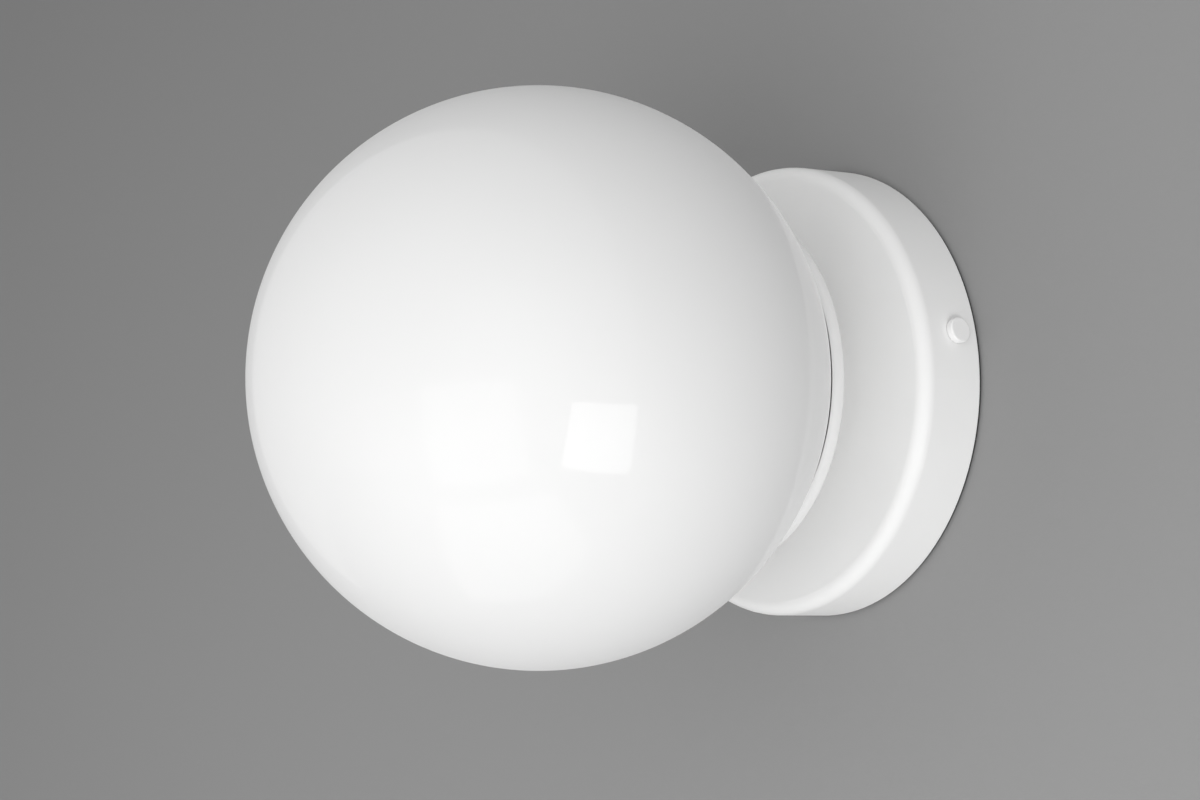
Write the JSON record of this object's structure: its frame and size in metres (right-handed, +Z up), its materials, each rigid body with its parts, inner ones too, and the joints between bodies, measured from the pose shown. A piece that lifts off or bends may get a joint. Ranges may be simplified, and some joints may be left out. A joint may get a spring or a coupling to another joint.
{
  "type": "globe wall sconce",
  "caption": "Wall light with an opal glass globe held close to the wall by a spun gallery on a deep round cover plate, fixed by side screws.",
  "frame": {"origin": "centre of the cover plate on the wall plane, on the globe's own axis", "axes": "-Y straight out of the wall, +X right and +Z up for someone facing the wall"},
  "size_m": [0.2, 0.23, 0.2],
  "materials": {
    "zinc_steel": "satin",
    "spring_steel": "satin",
    "nickel_steel": "bright",
    "black_rubber": "matte",
    "black_foam": "matte, closed cell",
    "clear_silicone": "satin",
    "clear_plastic": "satin",
    "brass": "bright",
    "tinned_brass": "bright",
    "brown_insulation": "satin",
    "blue_insulation": "satin",
    "green_yellow_insulation": "satin",
    "white_enamel": "satin",
    "white_thermoset": "satin",
    "cream_ceramic": "glazed",
    "solder": "dull",
    "black_glass": "gloss",
    "nickel_cap": "bright",
    "lamp_plastic": "satin",
    "lamp_opal": "satin",
    "opal_glass": "gloss"
  },
  "bodies": {
    "fixture": {"wall_bracket": "zinc_steel", "cable_grommet": "black_rubber", "terminal_block": "clear_plastic", "terminal_sleeves": "brass", "clamp_screws": "nickel_steel", "block_screws": "zinc_steel", "earth_screw": "brass", "earth_washer": "zinc_steel", "earth_ring": "tinned_brass", "live_wire": "brown_insulation", "neutral_wire": "blue_insulation", "earth_wire": "green_yellow_insulation", "backplate": "white_enamel", "rim_gasket": "black_foam", "gallery": "white_enamel", "seat_ring": "clear_silicone", "spring_clips": "spring_steel", "clip_rivets": "nickel_steel", "nipple": "zinc_steel", "lock_nut": "zinc_steel", "tooth_washer": "spring_steel", "gallery_nut": "zinc_steel", "holder_cap": "white_thermoset", "holder_skirt": "white_thermoset", "holder_insert": "cream_ceramic", "threaded_shell": "brass", "centre_contact": "brass", "holder_terminals": "brass", "terminal_screws": "nickel_steel"},
    "globe": {"globe": "opal_glass"},
    "lamp_tip": {"contact_pip": "solder"},
    "lamp": {"cap_insulator": "black_glass", "lamp_cap": "nickel_cap", "lamp_housing": "lamp_plastic", "lamp_diffuser": "lamp_opal"},
    "cover_screw_1": {"cover_screw_1": "white_enamel"},
    "cover_screw_2": {"cover_screw_2": "white_enamel"},
    "cover_screw_3": {"cover_screw_3": "white_enamel"}
  },
  "joints": [
    {"name": "globe_pull", "type": "slide", "parent": "fixture", "child": "globe", "axis": [0, -1, 0], "range_m": [0, 0.15], "deforming": ["spring_clips"]},
    {"name": "lamp_travel", "type": "slide", "parent": "fixture", "child": "lamp_tip", "axis": [0, -1, 0], "range_m": [0, 0.0154]},
    {"name": "lamp_turn", "type": "hinge", "parent": "lamp_tip", "child": "lamp", "pos_m": [0, -0.053, 0], "axis": [0, -1, 0], "range_deg": [0, 1530]},
    {"name": "cover_screw_1_out", "type": "slide", "parent": "fixture", "child": "cover_screw_1", "axis": [0.9792, 0, 0.2028], "range_m": [0, 0.009]},
    {"name": "cover_screw_2_out", "type": "slide", "parent": "fixture", "child": "cover_screw_2", "axis": [-0.6652, 0, 0.7466], "range_m": [0, 0.009]},
    {"name": "cover_screw_3_out", "type": "slide", "parent": "fixture", "child": "cover_screw_3", "axis": [-0.314, 0, -0.9494], "range_m": [0, 0.009]}
  ],
  "couplings": [
    {"joint": "lamp_turn", "follows": "lamp_travel", "rad_per_m": 1731.4}
  ]
}
